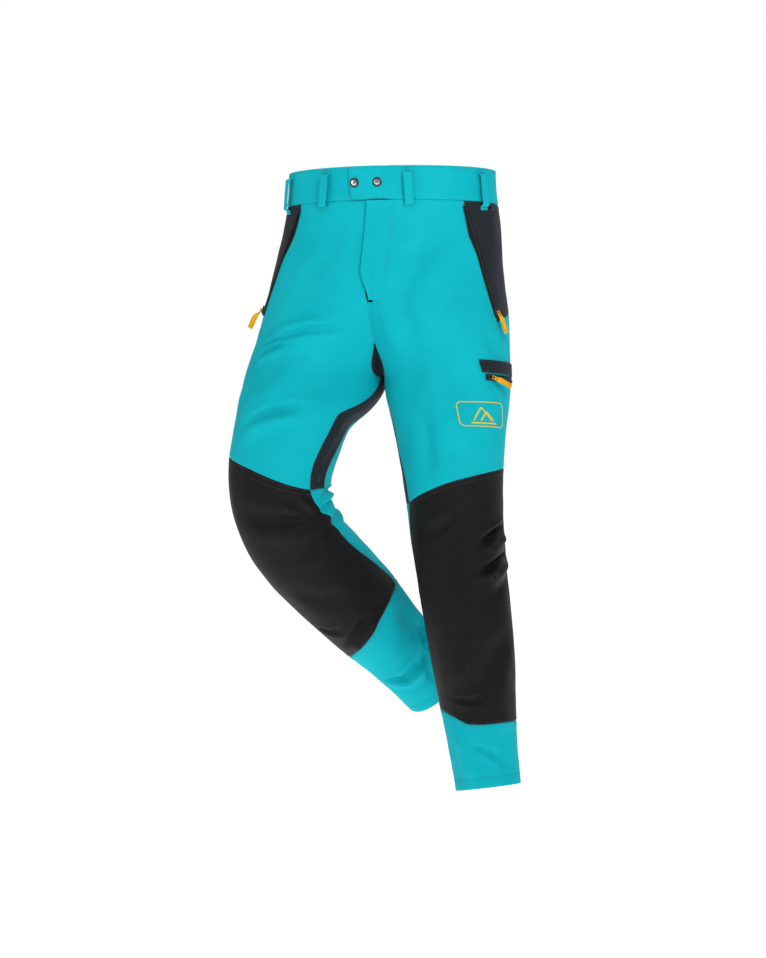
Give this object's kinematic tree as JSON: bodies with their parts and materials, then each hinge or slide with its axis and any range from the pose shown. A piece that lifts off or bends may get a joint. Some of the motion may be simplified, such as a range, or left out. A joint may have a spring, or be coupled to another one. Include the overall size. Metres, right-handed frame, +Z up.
{
  "type": "chainsaw protective trousers",
  "caption": "Cut-protection work trousers in a walking shape, with contrast knee panels, gusset, zipped pockets and a snap waistband.",
  "frame": {"origin": "centre of the waist opening in the plane of the waistband's top edge", "axes": "+Z up towards the waist, -Y the wearer's front, +X the wearer's left"},
  "size_m": [0.484, 0.3973, 1.0352],
  "materials": {
    "teal_cloth": "woven stretch softshell",
    "charcoal_cloth": "fine stretch weave",
    "black_cloth": "abrasion-resistant ripstop",
    "guard_felt": "layered cut-protection fibre",
    "lining_mesh": "open knitted mesh",
    "pocket_cotton": "plain pocketing",
    "zip_black": "coil zip on woven tape",
    "slider_metal": "black lacquered",
    "pull_yellow": "stitched ribbon",
    "snap_steel": "polished",
    "badge_print": "heat-transfer print"
  },
  "bodies": {
    "root": {"left_front_panel": "teal_cloth", "left_hip_side_panel": "charcoal_cloth", "left_seat_panel": "teal_cloth", "left_gusset": "charcoal_cloth", "left_cut_guard": "guard_felt", "left_thigh_lining": "lining_mesh", "left_knee_lining": "lining_mesh", "right_front_panel": "teal_cloth", "right_hip_side_panel": "charcoal_cloth", "right_seat_panel": "teal_cloth", "right_gusset": "charcoal_cloth", "right_cut_guard": "guard_felt", "right_thigh_lining": "lining_mesh", "right_knee_lining": "lining_mesh", "left_waistband": "teal_cloth", "right_waistband": "teal_cloth", "snap_stud_1": "snap_steel", "snap_stud_2": "snap_steel", "belt_loop_1": "teal_cloth", "belt_loop_2": "teal_cloth", "belt_loop_3": "teal_cloth", "belt_loop_4": "teal_cloth", "belt_loop_5": "teal_cloth", "belt_loop_6": "teal_cloth", "belt_loop_7": "teal_cloth", "left_hip_zip": "zip_black", "right_hip_zip": "zip_black", "fly_zip": "zip_black", "fly_shield": "lining_mesh", "left_hip_pocket_bag": "pocket_cotton", "right_hip_pocket_bag": "pocket_cotton", "thigh_pocket_welt": "charcoal_cloth", "thigh_pocket_zip": "zip_black", "thigh_badge": "badge_print", "side_tag": "pocket_cotton"},
    "left_shin": {"left_knee_panel": "black_cloth", "left_calf_panel": "teal_cloth", "left_hem_cuff": "teal_cloth", "left_shin_lining": "lining_mesh"},
    "right_shin": {"right_knee_panel": "black_cloth", "right_calf_panel": "teal_cloth", "right_hem_cuff": "teal_cloth", "right_shin_lining": "lining_mesh"},
    "closing_tab": {"waist_tab": "teal_cloth", "snap_cap_1": "snap_steel", "snap_socket_1": "snap_steel", "snap_cap_2": "snap_steel", "snap_socket_2": "snap_steel"},
    "fly_flap": {"fly_flap": "teal_cloth"},
    "left_hip_slider": {"left_hip_slider": "slider_metal"},
    "left_hip_pull": {"left_hip_pull": "pull_yellow"},
    "right_hip_slider": {"right_hip_slider": "slider_metal"},
    "right_hip_pull": {"right_hip_pull": "pull_yellow"},
    "fly_slider": {"fly_slider": "slider_metal"},
    "fly_pull": {"fly_pull": "pull_yellow"},
    "thigh_pocket_slider": {"thigh_pocket_slider": "slider_metal"},
    "thigh_pocket_pull": {"thigh_pocket_pull": "pull_yellow"}
  },
  "joints": [
    {"name": "right_knee", "type": "hinge", "parent": "root", "child": "right_shin", "pos_m": [-0.16668, -0.09563, -0.56002], "axis": [0.8152, -0.5782, 0.033], "range_deg": [-60, 18], "deforming": ["right_knee_panel", "right_calf_panel", "right_cut_guard", "right_knee_lining"]},
    {"name": "left_knee", "type": "hinge", "parent": "root", "child": "left_shin", "pos_m": [0.11604, -0.0288, -0.57497], "axis": [0.8832, 0.4691, 0], "range_deg": [0, 7], "deforming": ["left_knee_panel", "left_calf_panel", "left_cut_guard", "left_knee_lining"]},
    {"name": "closing_tab_hinge", "type": "hinge", "parent": "root", "child": "closing_tab", "pos_m": [0.01749, -0.12205, -0.028], "axis": [0, 0, 1], "range_deg": [0, 100]},
    {"name": "fly_flap_hinge", "type": "hinge", "parent": "root", "child": "fly_flap", "pos_m": [0.02605, -0.12834, -0.142], "axis": [0.0748, 0.0243, 0.9969], "range_deg": [0, 70]},
    {"name": "left_hip_zip_travel", "type": "hinge", "parent": "root", "child": "left_hip_slider", "pos_m": [-0.28985, 1.57134, 0.0729], "axis": [0.9328, 0.2199, 0.2854], "range_deg": [-5.64, 0]},
    {"name": "left_hip_pull_swing", "type": "hinge", "parent": "left_hip_slider", "child": "left_hip_pull", "pos_m": [0.19068, -0.04413, -0.23811], "axis": [-0.559, -0.7576, -0.3369], "range_deg": [-8, 150]},
    {"name": "right_hip_zip_travel", "type": "hinge", "parent": "root", "child": "right_hip_slider", "pos_m": [1.88929, 1.93271, -0.61862], "axis": [0.5936, -0.7062, -0.386], "range_deg": [-3.32, 0]},
    {"name": "right_hip_pull_swing", "type": "hinge", "parent": "right_hip_slider", "child": "right_hip_pull", "pos_m": [-0.21542, -0.04769, -0.23006], "axis": [-0.6026, 0.7963, -0.0538], "range_deg": [-18, 128]},
    {"name": "fly_zip_travel", "type": "hinge", "parent": "root", "child": "fly_slider", "pos_m": [-0.00005, 0.55694, -0.12176], "axis": [0.9979, -0.0055, -0.0651], "range_deg": [0, 9.5]},
    {"name": "fly_pull_swing", "type": "hinge", "parent": "fly_slider", "child": "fly_pull", "pos_m": [-0.00053, -0.12015, -0.07213], "axis": [-0.9979, 0, 0.0655], "range_deg": [-2, 2]},
    {"name": "thigh_pocket_zip_travel", "type": "hinge", "parent": "root", "child": "thigh_pocket_slider", "pos_m": [0.0957, -0.00337, -0.3566], "axis": [-0.0387, 0.0646, 0.9972], "range_deg": [0, 57.25]},
    {"name": "thigh_pocket_pull_swing", "type": "hinge", "parent": "thigh_pocket_slider", "child": "thigh_pocket_pull", "pos_m": [0.18709, -0.0724, -0.34858], "axis": [-0.1913, -0.3576, -0.9141], "range_deg": [-8, 150]}
  ]
}
